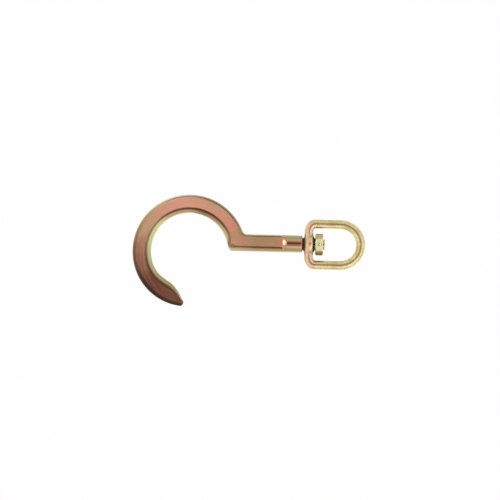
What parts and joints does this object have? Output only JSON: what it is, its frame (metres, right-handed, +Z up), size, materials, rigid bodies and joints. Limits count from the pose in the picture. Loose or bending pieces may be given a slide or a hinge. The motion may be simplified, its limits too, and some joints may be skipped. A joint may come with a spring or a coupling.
{
  "type": "swivel meat hook",
  "caption": "Round forged hook with a flattened bar and short point, hung from a D-shaped eye that swivels on the shank under a pinned nut.",
  "frame": {"origin": "highest point inside the eye, where it bears on whatever it hangs from", "axes": "+Z up along the shank and the swivel axis, +X towards the hook's mouth and point, +Y normal to the hook's flat faces"},
  "size_m": [0.1008, 0.018, 0.2101],
  "materials": {
    "hook_zinc": "forged, yellow-passivated zinc with pink and olive colour bands",
    "eye_zinc": "forged, bright yellow-passivated zinc",
    "nut_zinc": "turned and cross-drilled, bright yellow-passivated zinc",
    "pin_steel": "plain spring steel, bright"
  },
  "bodies": {
    "eye": {"swivel_eye": "eye_zinc"},
    "hook": {"hook_body": "hook_zinc", "stem_nut": "nut_zinc", "lock_pin": "pin_steel"}
  },
  "joints": [
    {"name": "swivel", "type": "hinge", "parent": "eye", "child": "hook", "pos_m": [0, 0, -0.043], "axis": [0, 0, 1], "continuous": true}
  ]
}
